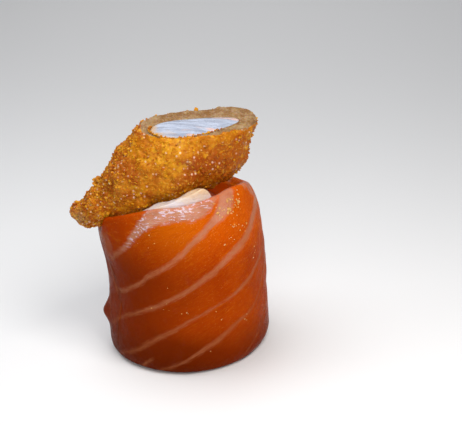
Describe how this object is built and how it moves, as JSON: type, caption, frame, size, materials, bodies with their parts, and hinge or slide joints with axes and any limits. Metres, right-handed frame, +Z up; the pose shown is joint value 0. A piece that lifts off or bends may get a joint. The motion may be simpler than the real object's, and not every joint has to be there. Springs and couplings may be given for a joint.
{
  "type": "salmon gunkan sushi with breaded shrimp",
  "caption": "Upright sushi roll: a salmon slice wound round a cream filling, topped with a bias-cut piece of fried breaded shrimp.",
  "frame": {"origin": "centre of the roll's flat underside", "axes": "+Z up along the roll; the side that the picture shows faces -Y; the shrimp's tip hangs over towards -X"},
  "size_m": [0.0473, 0.0403, 0.0597],
  "materials": {
    "salmon": "raw salmon flesh with pale fat lines, wet and glossy",
    "cream": "soft white cream cheese, satin",
    "crust": "golden brown fried crumb, rough with oily glints",
    "meat": "cooked white shrimp meat, fibrous and moist"
  },
  "bodies": {
    "root": {"salmon_wrap": "salmon", "cream_filling": "cream", "shrimp_crust": "crust", "shrimp_meat": "meat"}
  },
  "joints": []
}
